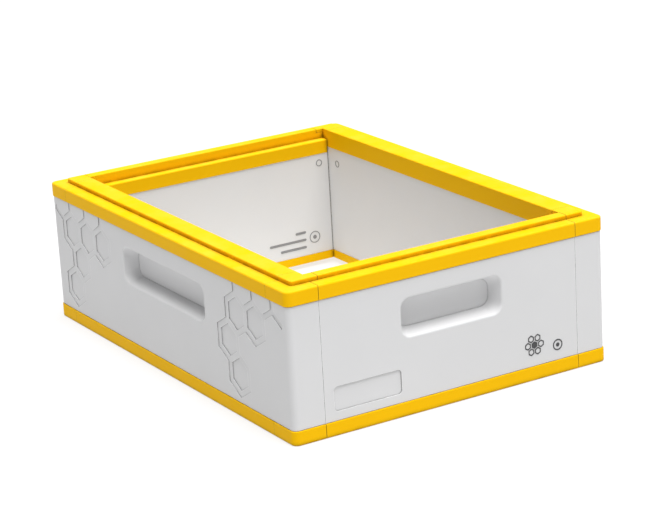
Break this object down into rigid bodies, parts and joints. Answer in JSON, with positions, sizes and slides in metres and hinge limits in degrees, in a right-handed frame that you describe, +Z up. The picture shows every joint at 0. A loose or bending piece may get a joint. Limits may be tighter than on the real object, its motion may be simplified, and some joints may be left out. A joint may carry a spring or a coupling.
{
  "type": "beehive box",
  "caption": "Foam-cored hive box for hanging frames, with white moulded walls, hand-holds, honeycomb relief and yellow top and bottom rails.",
  "frame": {"origin": "centre of the footprint, on the underside of the feet", "axes": "+X across the width, parallel to the end walls; +Y along the long side walls, from the front end to the back end; +Z up"},
  "size_m": [0.396, 0.544, 0.17],
  "materials": {
    "rail_plastic": "fine satin, yellow",
    "skin_plastic": "smooth satin, white",
    "liner_plastic": "smooth satin, white",
    "foam": "expanded foam, white"
  },
  "bodies": {
    "root": {"top_side_rail_left": "rail_plastic", "top_side_rail_right": "rail_plastic", "top_end_rail_front": "rail_plastic", "top_end_rail_back": "rail_plastic", "top_corner_front_left": "rail_plastic", "top_corner_back_right": "rail_plastic", "top_corner_back_left": "rail_plastic", "top_corner_front_right": "rail_plastic", "bottom_side_rail_left": "rail_plastic", "bottom_side_rail_right": "rail_plastic", "bottom_end_rail_front": "rail_plastic", "bottom_end_rail_back": "rail_plastic", "bottom_corner_front_left": "rail_plastic", "bottom_corner_back_right": "rail_plastic", "bottom_corner_back_left": "rail_plastic", "bottom_corner_front_right": "rail_plastic", "side_skin_left": "skin_plastic", "side_skin_right": "skin_plastic", "end_skin_front": "skin_plastic", "end_skin_back": "skin_plastic", "side_liner_left": "liner_plastic", "side_liner_right": "liner_plastic", "end_liner_front": "liner_plastic", "end_liner_back": "liner_plastic", "side_core_left": "foam", "side_core_right": "foam", "end_core_front": "foam", "end_core_back": "foam"}
  },
  "joints": []
}
